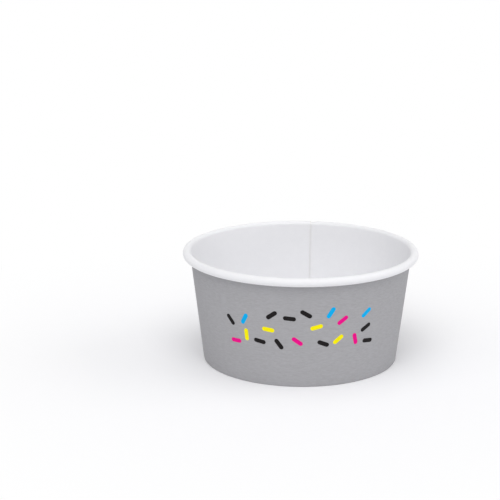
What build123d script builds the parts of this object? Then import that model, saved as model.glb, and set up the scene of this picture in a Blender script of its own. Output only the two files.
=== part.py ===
from build123d import *

import os
from math import acos, asin, atan2, cos, degrees, radians, sin, tan

# Paper dessert cup, in millimetres: a lapped wall with a rolled rim, and a skirted disc sealed into its foot.
# It stands on the XY plane with its axis on Z. Its front faces -Y and its seam is at the back, towards +Y.

# Driving dimensions
rim_diameter = 92.0  # outside of the rolled rim
foot_diameter = 76.0  # outside of the wall where it meets the table
height = 44.0  # table to the top of the rim
floor_height = 8.0  # table to the top of the base disc
board = 0.4  # thickness of the coated paperboard, in both pieces
rim_roll = 3.2  # outside diameter of the curl that makes the rim
rim_gap = 0.15  # between the curl's tucked end and the wall
hem_gap = 2.1  # between the top of the turned-in hem and the underside of the disc
seam_lap = 7.0  # width of the lapped seam, at the foot
seam_ramp = 3.0  # stretch over which the outer ply climbs onto the inner one, at the foot
seam_direction = 90.0  # degrees from +X to the middle of the lap
seal_gap = 0.03  # film of coating melted between the wall, the skirt and the hem
skirt_bend = 1.0  # how far from its corner the disc's drawn edge begins to round

# The curl is a round roll, and the wall's faces are tangents to it from the foot
roll_radius = rim_roll / 2
roll_centre = Vector(rim_diameter / 2 - roll_radius, height - roll_radius)
foot_radius = foot_diameter / 2
foot_to_roll = roll_centre - Vector(foot_radius, 0)
lean = atan2(foot_to_roll.X, foot_to_roll.Y)
taper = lean - asin((roll_radius - board) / foot_to_roll.length)

# Depths are measured square to the wall, inwards from its printed face
skirt_depth = board + seal_gap
hem_depth = skirt_depth + board + seal_gap

# Heights above the table
skirt_foot = board + seal_gap
underside = floor_height - board
hem_top = underside - hem_gap

# The seam, in degrees round the axis
lap_angle = degrees(seam_lap / foot_radius)
ramp_angle = degrees(seam_ramp / foot_radius)
lap_start = seam_direction - lap_angle / 2
lap_end = seam_direction + lap_angle / 2
ramp_start = lap_start - ramp_angle


def radial_plane(direction):
    """The upright plane in that direction: its x is the distance from the axis and its y the height."""
    angle = radians(direction)
    return Plane(
        origin=(0, 0, 0),
        x_dir=(cos(angle), sin(angle), 0),
        z_dir=(sin(angle), -cos(angle), 0),
    )


def at_depth(depth, z):
    """The point at that depth from the wall's printed face, at that height."""
    return Vector(foot_radius + z * tan(taper) - depth / cos(taper), z)


def bend(start, corner, end, chords=2):
    """Points of a corner rounded from start to end, in straight chords, which keep its facets few."""
    curve = Bezier(start, corner, end, mode=Mode.PRIVATE)
    return [curve @ (i / chords) for i in range(chords + 1)]


def curl(depth, plies, chords=3):
    """Points of the curl at that depth, each quarter turn in chords. It ends short of a wall of so many plies."""
    reach = roll_radius - plies * board - rim_gap
    start = 180 - degrees(taper)
    end = start - 360 + degrees(acos(reach / roll_radius))
    quarters = [start, 90, 0, -90, end]
    turns = [
        first + (last - first) * i / chords
        for first, last in zip(quarters, quarters[1:])
        for i in range(chords)
    ]
    spoke = Vector(roll_radius - board + depth, 0)
    return [roll_centre + spoke.rotate(Axis.Z, turn) for turn in [*turns, end]]


def wall_section(direction, printed_depth, inside_depth, plies):
    """The section of the wall and its curl between two depths, from the fold of the foot upwards."""
    with BuildSketch(radial_plane(direction)) as section:
        with BuildLine():
            Polyline(
                at_depth(inside_depth, board),
                *curl(inside_depth, plies),
                *reversed(curl(printed_depth, plies)),
                at_depth(printed_depth, board),
                close=True,
            )
        make_face()
    return section.sketch


# The side wall: one sheet, folded in at the foot to a hem, lapped at the seam and curled out at the rim
with BuildPart() as side_wall:
    # Fold and hem, all round
    with BuildSketch(Plane.XZ):
        outer_corner = at_depth(0, 0)
        inner_corner = at_depth(hem_depth + board, 0)
        with BuildLine():
            Polyline(
                *bend(at_depth(0, board), outer_corner, outer_corner - (board, 0)),
                *bend(inner_corner + (board, 0), inner_corner, at_depth(hem_depth + board, board)),
                at_depth(hem_depth + board, hem_top),
                at_depth(hem_depth, hem_top),
                at_depth(hem_depth, board),
                close=True,
            )
        make_face()
    revolve(axis=Axis.Z)
    # One ply, from the end of the lap round to the ramp
    revolve(
        wall_section(lap_end, 0, board, plies=1),
        axis=Axis.Z,
        revolution_arc=360 - lap_angle - ramp_angle,
    )
    # Two plies, along the lap
    revolve(
        wall_section(lap_start, -board, board, plies=2),
        axis=Axis.Z,
        revolution_arc=lap_angle,
    )
    # The outer ply's ramp, from the single wall up onto the inner ply
    loft(
        [
            wall_section(ramp_start, 0, board, plies=1),
            wall_section(lap_start, -board, 0, plies=2),
        ],
        ruled=True,
    )

# The base disc: a flat floor whose edge is drawn down into a skirt, between the wall and the hem
with BuildPart() as base_disc:
    with BuildSketch(Plane.XZ):
        top_corner = at_depth(skirt_depth, floor_height)
        under_corner = at_depth(skirt_depth + board, underside)
        under_bend = skirt_bend - board
        with BuildLine():
            Polyline(
                (0, floor_height),
                *bend(
                    top_corner - (skirt_bend, 0),
                    top_corner,
                    at_depth(skirt_depth, floor_height - skirt_bend),
                ),
                at_depth(skirt_depth, skirt_foot),
                at_depth(skirt_depth + board, skirt_foot),
                *bend(
                    at_depth(skirt_depth + board, underside - under_bend),
                    under_corner,
                    under_corner - (under_bend, 0),
                ),
                (0, underside),
                close=True,
            )
        make_face()
    revolve(axis=Axis.Z)

side_wall.part.label = "side_wall"
base_disc.part.label = "base_disc"

os.makedirs("parts", exist_ok=True)
export_step(side_wall.part, "parts/side_wall.step")
export_step(base_disc.part, "parts/base_disc.step")
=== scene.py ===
import math

import bmesh
import bpy
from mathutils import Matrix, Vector


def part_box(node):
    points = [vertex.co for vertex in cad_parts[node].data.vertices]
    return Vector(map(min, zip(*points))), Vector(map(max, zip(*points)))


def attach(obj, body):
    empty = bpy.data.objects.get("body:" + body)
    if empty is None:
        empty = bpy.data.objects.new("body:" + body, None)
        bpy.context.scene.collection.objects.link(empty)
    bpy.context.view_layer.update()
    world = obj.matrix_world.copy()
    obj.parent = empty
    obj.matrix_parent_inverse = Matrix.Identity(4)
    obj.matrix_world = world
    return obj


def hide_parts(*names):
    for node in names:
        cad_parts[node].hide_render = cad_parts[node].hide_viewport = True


# Paper dessert cup in a plain studio: the cup's sizes are in millimetres, and its meshes in metres

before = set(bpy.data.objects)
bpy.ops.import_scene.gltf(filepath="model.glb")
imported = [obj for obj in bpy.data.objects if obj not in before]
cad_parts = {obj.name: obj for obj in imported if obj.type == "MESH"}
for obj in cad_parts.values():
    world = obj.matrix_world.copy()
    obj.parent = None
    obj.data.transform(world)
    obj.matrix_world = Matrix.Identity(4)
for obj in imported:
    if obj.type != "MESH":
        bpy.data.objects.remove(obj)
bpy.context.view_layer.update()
wallLow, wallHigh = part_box("side_wall")
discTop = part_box("base_disc")[1].z
mm = 0.001
scene = bpy.context.scene
scene.view_settings.view_transform = "Standard"
print("frame loaded")


def hexColour(code):
    # sRGB hex to the linear values that sockets take
    parts = [int(code[i:i + 2], 16) / 255 for i in (1, 3, 5)]
    return (*[p / 12.92 if p <= 0.04045 else ((p + 0.055) / 1.055) ** 2.4 for p in parts], 1)


def addNode(tree, kind, inputs=None, **settings):
    # an input is a value, or an output socket to link from
    node = tree.nodes.new(kind)
    for name, value in settings.items():
        setattr(node, name, value)
    for socket, value in (inputs or {}).items():
        if isinstance(value, bpy.types.NodeSocket):
            tree.links.new(value, node.inputs[socket])
        else:
            node.inputs[socket].default_value = value
    return node


def newMaterial(name):
    material = bpy.data.materials.new(name)
    material.use_nodes = True
    material.node_tree.nodes.clear()
    return material, material.node_tree


def millimetres(tree, stretch=(1, 1, 1)):
    # Object coordinates in millimetres; a stretch above 1 draws the pattern out along that axis
    place = addNode(tree, "ShaderNodeTexCoord").outputs["Object"]
    scale = [1 / mm / s for s in stretch]
    return addNode(tree, "ShaderNodeMapping", {"Vector": place, "Scale": scale}).outputs["Vector"]


# Board finishes
boardLook = {
    "fibre": 0.35,  # mm across a fibre clump in the surface
    "fibreDetail": 3.0,
    "fibreRoughness": 0.6,
    "cloudDetail": 4.0,
    "cloudRoughness": 0.8,
    "sheenSwing": 0.06,  # how far the surface roughness strays from its middle
    "bump": 0.05,  # mm, height of the relief at its full strength
    "ior": 1.5,
}
greyPrint = {
    "light": "#ADADB0",
    "dark": "#A4A3A6",
    "cloud": 0.35,  # mm, height of the print's streaks
    "draw": (6.0, 6.0, 1.0),  # how much longer than high they are
    "contrast": 0.1,  # how far the noise strays from its middle between the dark and the light
    "roughness": 0.85,
    "specular": 0.15,
    "relief": 0.5,
}
whiteCoat = {
    "light": "#EFEFF1",
    "dark": "#E9E9EC",
    "cloud": 3.2,  # mm, cloudiness of the sheet
    "draw": (1.0, 1.0, 1.0),
    "contrast": 0.45,
    "roughness": 0.52,
    "specular": 0.5,
    "relief": 0.3,
}
rawEdge = {
    "light": "#EAE5DA",
    "dark": "#CFC8BA",
    "cloud": 0.09,  # mm between the fibre layers
    "draw": (8.0, 8.0, 1.0),
    "contrast": 0.3,
    "roughness": 0.85,
    "specular": 0.5,
    "relief": 0.8,
}


def boardMaterial(name, finish):
    # a board's face: two close colours clouded together, an uneven sheen and a low fibre relief
    material, tree = newMaterial(name)
    clouds = addNode(
        tree, "ShaderNodeTexNoise",
        {
            "Vector": millimetres(tree, finish["draw"]), "Scale": 1 / finish["cloud"],
            "Detail": boardLook["cloudDetail"], "Roughness": boardLook["cloudRoughness"],
        },
    ).outputs["Fac"]
    fibres = addNode(
        tree, "ShaderNodeTexNoise",
        {
            "Vector": millimetres(tree), "Scale": 1 / boardLook["fibre"],
            "Detail": boardLook["fibreDetail"], "Roughness": boardLook["fibreRoughness"],
        },
    ).outputs["Fac"]
    spread = addNode(
        tree, "ShaderNodeMapRange",
        {"Value": clouds, "From Min": 0.5 - finish["contrast"], "From Max": 0.5 + finish["contrast"]},
    )
    colour = addNode(
        tree, "ShaderNodeMix",  # its colour sockets are 6, 7 and output 2
        {0: spread.outputs["Result"], 6: hexColour(finish["dark"]), 7: hexColour(finish["light"])},
        data_type="RGBA",
    )
    swing = boardLook["sheenSwing"]
    sheen = addNode(
        tree, "ShaderNodeMapRange",
        {"Value": fibres, "To Min": finish["roughness"] - swing, "To Max": finish["roughness"] + swing},
    )
    height = addNode(tree, "ShaderNodeMath", {0: fibres, 1: clouds}, operation="ADD")
    bump = addNode(
        tree, "ShaderNodeBump",
        {
            "Strength": finish["relief"], "Distance": boardLook["bump"] * mm,
            "Height": height.outputs["Value"],
        },
    )
    shader = addNode(
        tree, "ShaderNodeBsdfPrincipled",
        {
            "Base Color": colour.outputs[2], "Roughness": sheen.outputs["Result"],
            "IOR": boardLook["ior"], "Specular IOR Level": finish["specular"],
            "Normal": bump.outputs["Normal"],
        },
    )
    addNode(tree, "ShaderNodeOutputMaterial", {"Surface": shader.outputs["BSDF"]})
    return material


# Flexo ink on bleached paperboard: matt grey with little shine, faintly streaked by the print roller
printedBoard = boardMaterial("matt grey flexo print on paperboard", greyPrint)
# Polyethylene-coated bleached board: clean white with a soft satin sheen over faint fibre clouds
coatedBoard = boardMaterial("satin polyethylene-coated white board", whiteCoat)
# Knife-cut board edge: raw warm-white fibre in thin layers, with no coating and no sheen
cutEdge = boardMaterial("raw cut edge of paperboard", rawEdge)
print("board finishes made")


# Side wall: one sheet, from the hem's top edge round the fold, up the wall and over the curl
sideWall = {
    "footDiameter": 76.0,
    "board": 0.4,
    "rollDiameter": 3.2,
    "rollGap": 0.15,  # between the tucked end and the wall
    "hemHeight": 5.5,
    "sealGap": 0.03,  # melted coating between wall, skirt and hem
    "foldRadius": 0.06,  # inside of each fold
    "lapWidth": 7.0,
    "rampWidth": 3.0,
    "lapFilm": 0.02,  # melted coating between the two plies of the lap
    "seamDirection": 90.0,
    "columns": 336,  # round the single ply
    "lapColumns": 12,
    "rampColumns": 14,
    "wallRows": 12,
    "curlRows": 40,
    "foldRows": 6,
    "hemRows": 4,
    "weld": 0.002,  # points nearer than this are merged
    "patches": {  # left, low, right and high of each face on the sheet's texture map
        "inside": (0.01, 0.01, 0.97, 0.395),
        "outside": (0.01, 0.405, 0.97, 0.79),
        "footInside": (0.01, 0.8, 0.97, 0.875),
        "footOutside": (0.01, 0.885, 0.97, 0.96),
        "curlEnd": (0.01, 0.965, 0.97, 0.969),
        "hemTop": (0.01, 0.973, 0.97, 0.977),
        "lapFoot": (0.01, 0.981, 0.97, 0.985),
        "ledge": (0.01, 0.989, 0.97, 0.993),
        "firstEnd": (0.975, 0.01, 0.98, 0.395),
        "lastEnd": (0.985, 0.01, 0.99, 0.395),
    },
}
board = sideWall["board"]
footRadius = sideWall["footDiameter"] / 2
rimRadius = (wallHigh.x - wallLow.x) / 2 / mm
cupHeight = wallHigh.z / mm
rollRadius = sideWall["rollDiameter"] / 2
rollX = rimRadius - rollRadius
rollZ = cupHeight - rollRadius
lean = math.atan2(rollX - footRadius, rollZ)
taper = lean - math.asin((rollRadius - board) / math.hypot(rollX - footRadius, rollZ))
skirtDepth = board + sideWall["sealGap"]
hemDepth = skirtDepth + board + sideWall["sealGap"]
lapLift = board + sideWall["lapFilm"]
lapAngle = sideWall["lapWidth"] / footRadius
rampAngle = sideWall["rampWidth"] / footRadius
lapStart = math.radians(sideWall["seamDirection"]) - lapAngle / 2
outwards = (math.cos(taper), -math.sin(taper))  # square to the wall


def wallRadius(depth, z):
    # distance from the axis, so deep in from the wall's printed face
    return footRadius + z * math.tan(taper) - depth / math.cos(taper)


def between(first, last, steps):
    return [first + (last - first) * i / steps for i in range(steps + 1)]


def smooth(x):
    x = min(max(x, 0.0), 1.0)
    return x * x * (3 - 2 * x)


def arc(centre, radius, angles, side):
    # stations r, z, and the direction to the printed face: side 1 away from the centre, -1 towards it
    spokes = [(math.cos(a), math.sin(a)) for a in angles]
    return [(centre[0] + radius * c, centre[1] + radius * s, side * c, side * s) for c, s in spokes]


def footStations():
    # the white face, from the hem's top down round both folds to the foot of the wall
    bend = sideWall["foldRadius"]
    z = board + bend
    inner = (wallRadius(hemDepth, z) + bend / math.cos(taper), z)
    outer = (wallRadius(board, z) - bend / math.cos(taper), z)
    turn = between(math.pi - taper, 1.5 * math.pi, sideWall["foldRows"])
    rise = between(1.5 * math.pi, 2 * math.pi - taper, sideWall["foldRows"])
    hemFoot = z + bend * math.sin(taper)
    hem = [
        (wallRadius(hemDepth, h), h, -outwards[0], -outwards[1])
        for h in between(sideWall["hemHeight"], hemFoot, sideWall["hemRows"])[:-1]
    ]
    return hem + arc(inner, bend, turn, 1) + arc(outer, bend, rise, 1)


def wallStations(plies):
    # the white face of the wall and its curl, which ends short of a wall of so many plies
    start = math.pi - taper
    reach = rollRadius - plies * board - sideWall["rollGap"]
    end = start - 2 * math.pi + math.acos(reach / rollRadius)
    low = footStations()[-1][1]
    top = rollZ + rollRadius * math.sin(taper)
    wall = [(wallRadius(board, z), z, *outwards) for z in between(low, top, sideWall["wallRows"])]
    return wall[:-1] + arc((rollX, rollZ), rollRadius, between(start, end, sideWall["curlRows"]), -1)


def place(station, depth, angle):
    # a station moved towards the printed face, and turned round the axis
    r, z, across, up = station
    r, z = r + across * depth, z + up * depth
    return (r * math.cos(angle) * mm, r * math.sin(angle) * mm, z * mm)


def spaced(points, first, last):
    # places from first to last, as far apart as the points are
    steps = [math.dist(a, b) for a, b in zip(points, points[1:])]
    return [first + (last - first) * sum(steps[:i]) / sum(steps) for i in range(len(points))]


def addGrid(mesh, columns, material, patch, closed=False):
    # quads between neighbouring columns of points, laid out on a patch of the texture map
    layer = mesh.loops.layers.uv.verify()
    left, low, right, high = sideWall["patches"][patch]
    verts = [[mesh.verts.new(p) for p in column] for column in columns]
    if closed:
        verts.append(verts[0])
        columns = columns + columns[:1]
    across = spaced([column[0] for column in columns], left, right)
    up = spaced(columns[0], low, high)
    for i in range(len(columns) - 1):
        for j in range(len(up) - 1):
            corners = [(i, j), (i + 1, j), (i + 1, j + 1), (i, j + 1)]
            face = mesh.faces.new([verts[c][r] for c, r in corners])
            face.material_index = material
            for loop, (c, r) in zip(face.loops, corners):
                loop[layer].uv = (across[c], up[r])


def settle(name, data, body, crispFrom=40):
    # a smooth-shaded object on its body, with crisp edges from so many degrees up
    data.shade_smooth()
    data.set_sharp_from_angle(angle=math.radians(crispFrom))
    piece = bpy.data.objects.new(name, data)
    scene.collection.objects.link(piece)
    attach(piece, body)
    return piece


def finishPiece(name, mesh, materials, body):
    # merges seams and points faces out
    bmesh.ops.remove_doubles(mesh, verts=mesh.verts, dist=sideWall["weld"] * mm)
    bmesh.ops.recalc_face_normals(mesh, faces=mesh.faces)
    data = bpy.data.meshes.new(name)
    mesh.to_mesh(data)
    mesh.free()
    for material in materials:
        data.materials.append(material)
    return settle(name, data, body)


def makeSideWall():
    mesh = bmesh.new()
    mesh.loops.layers.uv.new("OFBake")  # the sheet's own texture map; the name that the export looks for
    faces = [printedBoard, coatedBoard, cutEdge]
    grey, white, raw = range(len(faces))
    turn = 2 * math.pi
    lap = between(lapStart, lapStart + lapAngle, sideWall["lapColumns"])
    single = between(lapStart + lapAngle, lapStart + turn - rampAngle, sideWall["columns"])
    ramp = between(lapStart + turn - rampAngle, lapStart + turn, sideWall["rampColumns"])
    sheet = lap + single[1:] + ramp[1:] + [a + turn for a in lap[1:]]
    ring = lap + single[1:] + ramp[1:-1]
    foot = footStations()
    onePly, twoPly = wallStations(1), wallStations(2)

    def climb(angle):
        # 0 on the single ply, 1 where the sheet lies on its own other end
        return smooth((angle - ramp[0]) / rampAngle)

    def section(angle):
        # the curl is tucked less where it meets the doubled wall
        near = max(climb(angle), smooth(1 - (angle - lap[-1]) / rampAngle))
        return [
            tuple(a + (b - a) * near for a, b in zip(one, two)) for one, two in zip(onePly, twoPly)
        ]

    def strip(angles, lift):
        return [[place(s, lift + climb(a) * lapLift, a) for s in section(a)] for a in angles]

    inside, outside = strip(sheet, 0), strip(sheet, board)
    addGrid(mesh, inside, white, "inside")
    addGrid(mesh, outside, grey, "outside")
    addGrid(mesh, [[i[-1], o[-1]] for i, o in zip(inside, outside)], raw, "curlEnd")
    for end, patch in ((0, "firstEnd"), (-1, "lastEnd")):
        addGrid(mesh, [inside[end], outside[end]], raw, patch)
    # the fold and the hem are one ring, which the sheet leaves where it climbs onto the lap
    ringInside = [[place(s, 0, a) for s in foot] for a in ring]
    ringOutside = [[place(s, board, a) for s in foot] for a in ring]
    addGrid(mesh, ringInside, white, "footInside", closed=True)
    addGrid(mesh, ringOutside, grey, "footOutside", closed=True)
    addGrid(mesh, [[i[0], o[0]] for i, o in zip(ringInside, ringOutside)], raw, "hemTop", closed=True)
    leave = sheet.index(ramp[1]) - 1  # the column where the ramp begins
    addGrid(mesh, [[i[0], o[0]] for i, o in zip(inside[leave:], outside[leave:])], raw, "lapFoot")
    ledge = [[place(foot[-1], d, a) for d in (0, board)] for a in ramp]
    addGrid(mesh, ledge, raw, "ledge")
    piece = finishPiece("lapped_side_wall", mesh, faces, "root")
    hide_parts("side_wall")


makeSideWall()
print("side wall made")


def newTree(name, inputs):
    tree = bpy.data.node_groups.new(name, "GeometryNodeTree")
    for label, kind in inputs.items():
        tree.interface.new_socket(label, in_out="INPUT", socket_type="NodeSocket" + kind)
    tree.interface.new_socket("Geometry", in_out="OUTPUT", socket_type="NodeSocketGeometry")
    return tree, addNode(tree, "NodeGroupInput").outputs


def growPiece(name, tree, values, body):
    # runs a tree on an empty mesh and keeps the result as a plain mesh
    source = bpy.data.objects.new(name + "_source", bpy.data.meshes.new(name + "_source"))
    scene.collection.objects.link(source)
    modifier = source.modifiers.new("grow", "NODES")
    modifier.node_group = tree
    for item in tree.interface.items_tree:
        if item.in_out == "INPUT":
            modifier[item.identifier] = values[item.name]
    depsgraph = bpy.context.evaluated_depsgraph_get()
    data = bpy.data.meshes.new_from_object(source.evaluated_get(depsgraph), depsgraph=depsgraph)
    data.name = name
    source.modifiers.remove(modifier)
    bpy.data.objects.remove(source)
    for slot in reversed(range(len(data.materials))):
        if data.materials[slot] is None:
            data.materials.pop(index=slot)
    return settle(name, data, body)


# Base disc: flat floor with its edge drawn down into a skirt, a section turned round the axis
baseDisc = {
    "bendRadius": 1.0,  # outside of the drawn edge
    "bendSteps": 10,
    "columns": 288,
    "rail": 10.0,  # radius of the circle that carries the section round
    "edgeReach": 0.02,  # above the skirt's foot, what still counts as its cut edge
    "weld": 0.002,
}


def makeBaseDisc():
    top = discTop / mm
    underside = top - board
    skirtFoot = board + sideWall["sealGap"]
    sizes = {
        "Floor height": top,
        "Floor radius": wallRadius(skirtDepth, top),
        "Underside": underside,
        "Underside radius": wallRadius(skirtDepth + board, underside),
        "Skirt foot": skirtFoot,
        "Skirt radius": wallRadius(skirtDepth, skirtFoot),
        "Skirt inside": wallRadius(skirtDepth + board, skirtFoot),
        "Bend": baseDisc["bendRadius"],
        "Under bend": baseDisc["bendRadius"] - board,
        "Edge reach": baseDisc["edgeReach"],
        "Rail": baseDisc["rail"],
        "Weld": baseDisc["weld"],
    }
    counts = {"Bend steps": baseDisc["bendSteps"], "Columns": baseDisc["columns"]}
    tree, given = newTree(
        "skirtedDisc", {**dict.fromkeys(sizes, "Float"), **dict.fromkeys(counts, "Int")},
    )
    # the section's corners, from the middle of the floor round the skirt to the middle of the underside
    corners = [
        {"Y": given["Floor height"]},
        {"X": given["Floor radius"], "Y": given["Floor height"]},
        {"X": given["Skirt radius"], "Y": given["Skirt foot"]},
        {"X": given["Skirt inside"], "Y": given["Skirt foot"]},
        {"X": given["Underside radius"], "Y": given["Underside"]},
        {"Y": given["Underside"]},
    ]
    bends = {1: given["Bend"], 4: given["Under bend"]}  # by corner
    number = addNode(tree, "GeometryNodeInputIndex").outputs["Index"]
    corner = addNode(tree, "GeometryNodeIndexSwitch", {"Index": number}, data_type="VECTOR")
    bend = addNode(tree, "GeometryNodeIndexSwitch", {"Index": number}, data_type="FLOAT")
    for switch in (corner, bend):
        while len(switch.index_switch_items) < len(corners):
            switch.index_switch_items.new()
    for i, where in enumerate(corners):
        point = addNode(tree, "ShaderNodeCombineXYZ", where)
        tree.links.new(point.outputs["Vector"], corner.inputs[i + 1])
    for i, radius in bends.items():
        tree.links.new(radius, bend.inputs[i + 1])
    # a swept section hangs upside down from its rail
    shift = addNode(tree, "ShaderNodeMath", {0: given["Rail"], 1: -1.0}, operation="MULTIPLY")
    offset = addNode(tree, "ShaderNodeCombineXYZ", {"X": shift.outputs["Value"]})
    hung = addNode(
        tree, "ShaderNodeVectorMath",
        {0: corner.outputs["Output"], 1: (1.0, -1.0, 1.0), 2: offset.outputs["Vector"]},
        operation="MULTIPLY_ADD",
    )
    chain = addNode(tree, "GeometryNodeMeshLine", {"Count": len(corners)})
    bent = addNode(
        tree, "GeometryNodeSetPosition",
        {"Geometry": chain.outputs["Mesh"], "Position": hung.outputs["Vector"]},
    )
    section = addNode(tree, "GeometryNodeMeshToCurve", {"Mesh": bent.outputs["Geometry"]})
    rounded = addNode(
        tree, "GeometryNodeFilletCurve",
        {
            "Curve": section.outputs["Curve"], "Radius": bend.outputs["Output"],
            "Count": given["Bend steps"],
        },
        mode="POLY",
    )
    rail = addNode(
        tree, "GeometryNodeCurvePrimitiveCircle",
        {"Resolution": given["Columns"], "Radius": given["Rail"]},
    )
    upright = addNode(
        tree, "GeometryNodeSetCurveNormal", {"Curve": rail.outputs["Curve"]}, mode="Z_UP",
    )
    turned = addNode(
        tree, "GeometryNodeCurveToMesh",
        {"Curve": upright.outputs["Curve"], "Profile Curve": rounded.outputs["Curve"]},
    )
    whole = addNode(
        tree, "GeometryNodeMergeByDistance",
        {"Geometry": turned.outputs["Mesh"], "Distance": given["Weld"]},
    )
    white = addNode(
        tree, "GeometryNodeSetMaterial",
        {"Geometry": whole.outputs["Geometry"], "Material": coatedBoard},
    )
    # the skirt's foot is a cut edge
    height = addNode(
        tree, "ShaderNodeSeparateXYZ",
        {"Vector": addNode(tree, "GeometryNodeInputPosition").outputs["Position"]},
    )
    nearFoot = addNode(
        tree, "ShaderNodeMath", {0: given["Skirt foot"], 1: given["Edge reach"]}, operation="ADD",
    )
    low = addNode(
        tree, "FunctionNodeCompare", {0: height.outputs["Z"], 1: nearFoot.outputs["Value"]},
        data_type="FLOAT", operation="LESS_THAN",
    )
    edged = addNode(
        tree, "GeometryNodeSetMaterial",
        {
            "Geometry": white.outputs["Geometry"], "Selection": low.outputs["Result"],
            "Material": cutEdge,
        },
    )
    addNode(tree, "NodeGroupOutput", {"Geometry": edged.outputs["Geometry"]})
    piece = growPiece(
        "skirted_base_disc", tree, {**{name: size * mm for name, size in sizes.items()}, **counts},
        "root",
    )
    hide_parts("base_disc")


makeBaseDisc()
print("base disc made")


# Knurl: the ribs that the sealing wheel presses into the inside of the hem
knurl = {
    "count": 120,
    "length": 4.0,
    "width": 1.0,
    "proud": 0.14,
    "middle": 2.9,  # height above the table
    "segments": 8,  # round a rib
    "rings": 6,  # along it
}


def makeKnurl():
    tree, given = newTree(
        "hemKnurl",
        {
            "Count": "Int", "Radius": "Float", "Middle": "Float", "Size": "Vector", "Tilt": "Vector",
            "Segments": "Int", "Rings": "Int",
        },
    )
    rib = addNode(
        tree, "GeometryNodeMeshUVSphere",
        {"Segments": given["Segments"], "Rings": given["Rings"], "Radius": 1.0},
    )
    shaped = addNode(
        tree, "GeometryNodeTransform", {"Geometry": rib.outputs["Mesh"], "Scale": given["Size"]},
    )
    tilted = addNode(
        tree, "GeometryNodeTransform",
        {"Geometry": shaped.outputs["Geometry"], "Rotation": given["Tilt"]},
    )
    circle = addNode(
        tree, "GeometryNodeMeshCircle", {"Vertices": given["Count"], "Radius": given["Radius"]},
    )
    spoke = addNode(tree, "GeometryNodeInputPosition").outputs["Position"]
    facing = addNode(tree, "FunctionNodeAlignRotationToVector", {"Vector": spoke}, axis="X")
    ribs = addNode(
        tree, "GeometryNodeInstanceOnPoints",
        {
            "Points": circle.outputs["Mesh"],
            "Instance": tilted.outputs["Geometry"],
            "Rotation": facing.outputs["Rotation"],
        },
    )
    lift = addNode(tree, "ShaderNodeCombineXYZ", {"Z": given["Middle"]})
    raised = addNode(
        tree, "GeometryNodeTransform",
        {"Geometry": ribs.outputs["Instances"], "Translation": lift.outputs["Vector"]},
    )
    real = addNode(tree, "GeometryNodeRealizeInstances", {"Geometry": raised.outputs["Geometry"]})
    dressed = addNode(
        tree, "GeometryNodeSetMaterial",
        {"Geometry": real.outputs["Geometry"], "Material": printedBoard},
    )
    addNode(tree, "NodeGroupOutput", {"Geometry": dressed.outputs["Geometry"]})
    growPiece(
        "hem_knurl", tree,
        {
            "Count": knurl["count"],
            "Radius": wallRadius(hemDepth + board, knurl["middle"]) * mm,
            "Middle": knurl["middle"] * mm,
            "Size": (knurl["proud"] * mm, knurl["width"] / 2 * mm, knurl["length"] / 2 * mm),
            "Tilt": (0.0, taper, 0.0),
            "Segments": knurl["segments"],
            "Rings": knurl["rings"],
        },
        "root",
    )


makeKnurl()
print("knurl made")


# Sprinkle print: short round-ended bars strewn over the front
sprinkles = {
    "sizes": {  # by the names of the tree's inputs
        "Band width": 60.0,  # along the wall
        "Band height": 14.0,
        "Middle": 23.0,  # height above the table
        "Length": 4.8,
        "Width": 1.7,
        "Spacing": 5.8,  # least distance between the middles of two bars
        "Step": 0.3,  # between points of a bar's outline, so that it follows the round wall
        "Sunk": 0.05,  # depth of a bar's underside in the wall
        "Thick": 0.07,
        "Weld": 0.004,
    },
    "endRound": 0.499,  # share of the width, just under half, so that an end's two corners stay apart
    "endSteps": 8,
    "seed": 2,
    "inks": {"black": "#1C191A", "yellow": "#FFF200", "magenta": "#F0048C", "cyan": "#00B0F1"},
    "darkest": 0.9,  # times the ink's colour, in its speckle
    "lightest": 1.04,
    "smoothest": 0.55,  # roughness, in the same speckle
    "roughest": 0.67,
    "specular": 0.12,
}


def inkMaterial(name, code):
    # Flexo ink laid on the printed board: flat, solid and matt, speckled by the fibres under it
    material, tree = newMaterial(name + " flexo ink on paperboard")
    speckle = addNode(
        tree, "ShaderNodeTexNoise",
        {
            "Vector": millimetres(tree), "Scale": 1 / boardLook["fibre"],
            "Detail": boardLook["fibreDetail"],
        },
    ).outputs["Fac"]
    lay = addNode(
        tree, "ShaderNodeMapRange",
        {"Value": speckle, "To Min": sprinkles["darkest"], "To Max": sprinkles["lightest"]},
    )
    colour = addNode(
        tree, "ShaderNodeVectorMath",
        {0: hexColour(code)[:3], "Scale": lay.outputs["Result"]}, operation="SCALE",
    )
    sheen = addNode(
        tree, "ShaderNodeMapRange",
        {"Value": speckle, "To Min": sprinkles["smoothest"], "To Max": sprinkles["roughest"]},
    )
    shader = addNode(
        tree, "ShaderNodeBsdfPrincipled",
        {
            "Base Color": colour.outputs["Vector"], "Roughness": sheen.outputs["Result"],
            "IOR": boardLook["ior"], "Specular IOR Level": sprinkles["specular"],
        },
    )
    addNode(tree, "ShaderNodeOutputMaterial", {"Surface": shader.outputs["BSDF"]})
    return material


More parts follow.
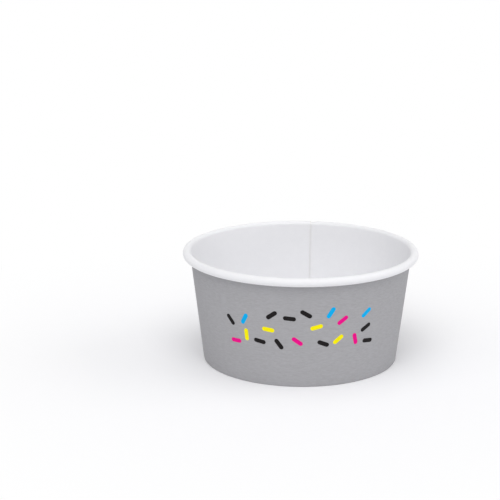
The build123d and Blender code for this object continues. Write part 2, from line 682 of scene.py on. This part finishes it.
def makeSprinkles():
    sizes = {name: size * mm for name, size in sprinkles["sizes"].items()}
    sizes["Foot radius"] = footRadius * mm
    ratios = {"Flare": math.tan(taper), "End round": sprinkles["endRound"]}
    counts = {"End steps": sprinkles["endSteps"], "Seed": sprinkles["seed"]}
    tree, given = newTree(
        "sprinklePrint",
        {**dict.fromkeys([*sizes, *ratios], "Float"), **dict.fromkeys(counts, "Int")},
    )
    # one bar, flat, with round ends
    box = addNode(
        tree, "GeometryNodeCurvePrimitiveQuadrilateral",
        {"Width": given["Length"], "Height": given["Width"]},
    )
    corner = addNode(
        tree, "ShaderNodeMath", {0: given["Width"], 1: given["End round"]}, operation="MULTIPLY",
    )
    rounded = addNode(
        tree, "GeometryNodeFilletCurve",
        {
            "Curve": box.outputs["Curve"], "Radius": corner.outputs["Value"],
            "Count": given["End steps"],
        },
        mode="POLY",
    )
    stepped = addNode(
        tree, "GeometryNodeResampleCurve",
        {"Curve": rounded.outputs["Curve"], "Length": given["Step"]}, mode="LENGTH",
    )
    flat = addNode(tree, "GeometryNodeFillCurve", {"Curve": stepped.outputs["Curve"]})
    raised = addNode(
        tree, "GeometryNodeExtrudeMesh",
        {"Mesh": flat.outputs["Mesh"], "Offset Scale": given["Thick"], "Individual": False},
    )
    under = addNode(tree, "GeometryNodeFlipFaces", {"Mesh": flat.outputs["Mesh"]})
    both = addNode(tree, "GeometryNodeJoinGeometry")
    for shell in (raised.outputs["Mesh"], under.outputs["Mesh"]):
        tree.links.new(shell, both.inputs["Geometry"])
    bar = addNode(
        tree, "GeometryNodeMergeByDistance",
        {"Geometry": both.outputs["Geometry"], "Distance": given["Weld"]},
    )
    # strewn over a flat band, each bar at its own angle
    band = addNode(
        tree, "GeometryNodeMeshGrid",
        {
            "Size X": given["Band width"], "Size Y": given["Band height"],
            "Vertices X": 2, "Vertices Y": 2,
        },
    )
    strewn = addNode(
        tree, "GeometryNodeDistributePointsOnFaces",
        {
            "Mesh": band.outputs["Mesh"], "Distance Min": given["Spacing"],
            "Density Max": 1 / mm ** 2, "Seed": given["Seed"],  # one try on each square millimetre
        },
        distribute_method="POISSON",
    )
    swing = addNode(
        tree, "FunctionNodeRandomValue",
        {"Min": (0.0, 0.0, 0.0), "Max": (0.0, 0.0, math.pi), "Seed": given["Seed"]},
        data_type="FLOAT_VECTOR",
    )
    bars = addNode(
        tree, "GeometryNodeInstanceOnPoints",
        {
            "Points": strewn.outputs["Points"], "Instance": bar.outputs["Geometry"],
            "Rotation": swing.outputs[0],
        },
    )
    lots = 2 * (len(sprinkles["inks"]) - 1)  # half of them keep the first ink
    pick = addNode(
        tree, "FunctionNodeRandomValue",  # its whole-number sockets are 4, 5 and output 2
        {4: 0, 5: lots - 1, "Seed": given["Seed"]}, data_type="INT",
    )
    marked = addNode(
        tree, "GeometryNodeStoreNamedAttribute",
        {"Geometry": bars.outputs["Instances"], "Name": "ink", "Value": pick.outputs[2]},
        data_type="INT", domain="INSTANCE",
    )
    real = addNode(tree, "GeometryNodeRealizeInstances", {"Geometry": marked.outputs["Geometry"]})
    # rolled round the cone of the wall
    split = addNode(
        tree, "ShaderNodeSeparateXYZ",
        {"Vector": addNode(tree, "GeometryNodeInputPosition").outputs["Position"]},
    )
    up = addNode(
        tree, "ShaderNodeMath", {0: split.outputs["Y"], 1: given["Middle"]}, operation="ADD",
    )
    face = addNode(
        tree, "ShaderNodeMath",
        {0: up.outputs["Value"], 1: given["Flare"], 2: given["Foot radius"]}, operation="MULTIPLY_ADD",
    )
    middleFace = addNode(
        tree, "ShaderNodeMath",
        {0: given["Middle"], 1: given["Flare"], 2: given["Foot radius"]}, operation="MULTIPLY_ADD",
    )
    sunk = addNode(
        tree, "ShaderNodeMath", {0: split.outputs["Z"], 1: given["Sunk"]}, operation="SUBTRACT",
    )
    out = addNode(
        tree, "ShaderNodeMath", {0: face.outputs["Value"], 1: sunk.outputs["Value"]}, operation="ADD",
    )
    angle = addNode(
        tree, "ShaderNodeMath",
        {0: split.outputs["X"], 1: middleFace.outputs["Value"]}, operation="DIVIDE",
    )
    swept = addNode(tree, "ShaderNodeMath", {0: angle.outputs["Value"]}, operation="SINE")
    ahead = addNode(tree, "ShaderNodeMath", {0: angle.outputs["Value"]}, operation="COSINE")
    sideways = addNode(
        tree, "ShaderNodeMath",
        {0: out.outputs["Value"], 1: swept.outputs["Value"]}, operation="MULTIPLY",
    )
    forward = addNode(
        tree, "ShaderNodeMath",
        {0: out.outputs["Value"], 1: ahead.outputs["Value"]}, operation="MULTIPLY",
    )
    back = addNode(
        tree, "ShaderNodeMath", {0: forward.outputs["Value"], 1: -1.0}, operation="MULTIPLY",
    )
    wrapped = addNode(
        tree, "ShaderNodeCombineXYZ",
        {"X": sideways.outputs["Value"], "Y": back.outputs["Value"], "Z": up.outputs["Value"]},
    )
    last = addNode(
        tree, "GeometryNodeSetPosition",
        {"Geometry": real.outputs["Geometry"], "Position": wrapped.outputs["Vector"]},
    ).outputs["Geometry"]
    # the first ink on every bar, then each of the others on the bars of its own lot
    ink = addNode(tree, "GeometryNodeInputNamedAttribute", {"Name": "ink"}, data_type="INT")
    for number, (name, code) in enumerate(sprinkles["inks"].items()):
        dress = addNode(
            tree, "GeometryNodeSetMaterial", {"Geometry": last, "Material": inkMaterial(name, code)},
        )
        if number:
            chosen = addNode(
                tree, "FunctionNodeCompare",  # whole numbers go to 2 and 3
                {2: ink.outputs["Attribute"], 3: number}, data_type="INT", operation="EQUAL",
            )
            tree.links.new(chosen.outputs["Result"], dress.inputs["Selection"])
        last = dress.outputs["Geometry"]
    addNode(tree, "NodeGroupOutput", {"Geometry": last})
    growPiece("sprinkle_print", tree, {**sizes, **ratios, **counts}, "root")


makeSprinkles()
print("sprinkle print made")


# Studio: white floor, white dome, four broad soft lamps far off, and the camera
studio = {
    "floorHalf": 6.0,  # metres
    "floor": "#FBFBFD",
    "white": "#FFFFFF",  # of the light and of the background
    "fadeFrom": 0.04,  # metres from the cup's axis, where the floor begins to fade out to white
    "fadeTo": 0.19,
    "dome": 0.45,
    "lampSpread": 50.0,  # degrees across each lamp, which softens its shadow
    "lamps": {
        # degrees round from the front towards the right, degrees up, strength
        "front": (0.0, 50.0, 1.009),
        "left": (-45.0, 50.0, 0.389),
        "right": (90.0, 25.0, 0.567),
        "top": (0.0, 90.0, 0.435),
    },
    "cameraPlace": (0.0, -0.58793, 0.19757),  # metres
    "cameraDown": 0.2571,  # radians
    "cameraTurn": 0.0336,
    "lens": 111.82,  # mm
    "sensor": 36.0,
    "farthest": 100.0,  # metres, as far as the camera sees
}


def seenDirectly(tree):
    # 1 for what the camera sees, also in a reflection or through something clear
    path = addNode(tree, "ShaderNodeLightPath").outputs
    seen = addNode(
        tree, "ShaderNodeMath",
        {0: path["Is Camera Ray"], 1: path["Is Glossy Ray"]}, operation="MAXIMUM",
    )
    return addNode(
        tree, "ShaderNodeMath",
        {0: seen.outputs["Value"], 1: path["Is Transmission Ray"]}, operation="MAXIMUM",
    ).outputs["Value"]


def makeFloor():
    # Matt white paper: takes the shadow near the cup and runs out into a white background
    material, tree = newMaterial("matt white paper sweep")
    paper = addNode(
        tree, "ShaderNodeBsdfPrincipled",
        {"Base Color": hexColour(studio["floor"]), "Roughness": 1.0, "Specular IOR Level": 0.0},
    )
    white = addNode(
        tree, "ShaderNodeEmission", {"Color": hexColour(studio["white"]), "Strength": 1.0},
    )
    distance = addNode(
        tree, "ShaderNodeVectorMath", {0: addNode(tree, "ShaderNodeTexCoord").outputs["Object"]},
        operation="LENGTH",
    )
    away = addNode(
        tree, "ShaderNodeMapRange",
        {
            "Value": distance.outputs["Value"], "From Min": studio["fadeFrom"],
            "From Max": studio["fadeTo"], "To Max": seenDirectly(tree),
        },
        interpolation_type="SMOOTHSTEP",
    )
    surface = addNode(
        tree, "ShaderNodeMixShader",
        {0: away.outputs["Result"], 1: paper.outputs["BSDF"], 2: white.outputs["Emission"]},
    )
    addNode(tree, "ShaderNodeOutputMaterial", {"Surface": surface.outputs["Shader"]})
    half = studio["floorHalf"]
    corners = [(-half, -half, 0), (half, -half, 0), (half, half, 0), (-half, half, 0)]
    data = bpy.data.meshes.new("floor")
    data.from_pydata(corners, [], [(0, 1, 2, 3)])
    data.materials.append(material)
    floor = bpy.data.objects.new("floor", data)
    scene.collection.objects.link(floor)


def makeLight():
    world = bpy.data.worlds.new("white dome")
    scene.world = world
    world.use_nodes = True
    tree = world.node_tree
    tree.nodes.clear()
    white = hexColour(studio["white"])
    lighting = addNode(tree, "ShaderNodeBackground", {"Color": white, "Strength": studio["dome"]})
    backdrop = addNode(tree, "ShaderNodeBackground", {"Color": white, "Strength": 1.0})
    chosen = addNode(
        tree, "ShaderNodeMixShader",
        {0: seenDirectly(tree), 1: lighting.outputs["Background"], 2: backdrop.outputs["Background"]},
    )
    addNode(tree, "ShaderNodeOutputWorld", {"Surface": chosen.outputs["Shader"]})
    for name, (aside, up, strength) in studio["lamps"].items():
        data = bpy.data.lights.new(name, "SUN")
        data.energy = strength
        data.angle = math.radians(studio["lampSpread"])
        aside, up = math.radians(aside), math.radians(up)
        level = math.cos(up)
        towards = Vector((math.sin(aside) * level, -math.cos(aside) * level, math.sin(up)))
        light = bpy.data.objects.new(name, data)
        light.rotation_euler = (-towards).to_track_quat("-Z", "Y").to_euler()
        scene.collection.objects.link(light)


def makeCamera():
    data = bpy.data.cameras.new("camera")
    data.sensor_width = studio["sensor"]
    data.lens = studio["lens"]
    data.clip_end = studio["farthest"]
    camera = bpy.data.objects.new("camera", data)
    camera.location = studio["cameraPlace"]
    camera.rotation_euler = (math.pi / 2 - studio["cameraDown"], 0.0, studio["cameraTurn"])
    scene.collection.objects.link(camera)
    scene.camera = camera


makeFloor()
makeLight()
makeCamera()
print("studio made")
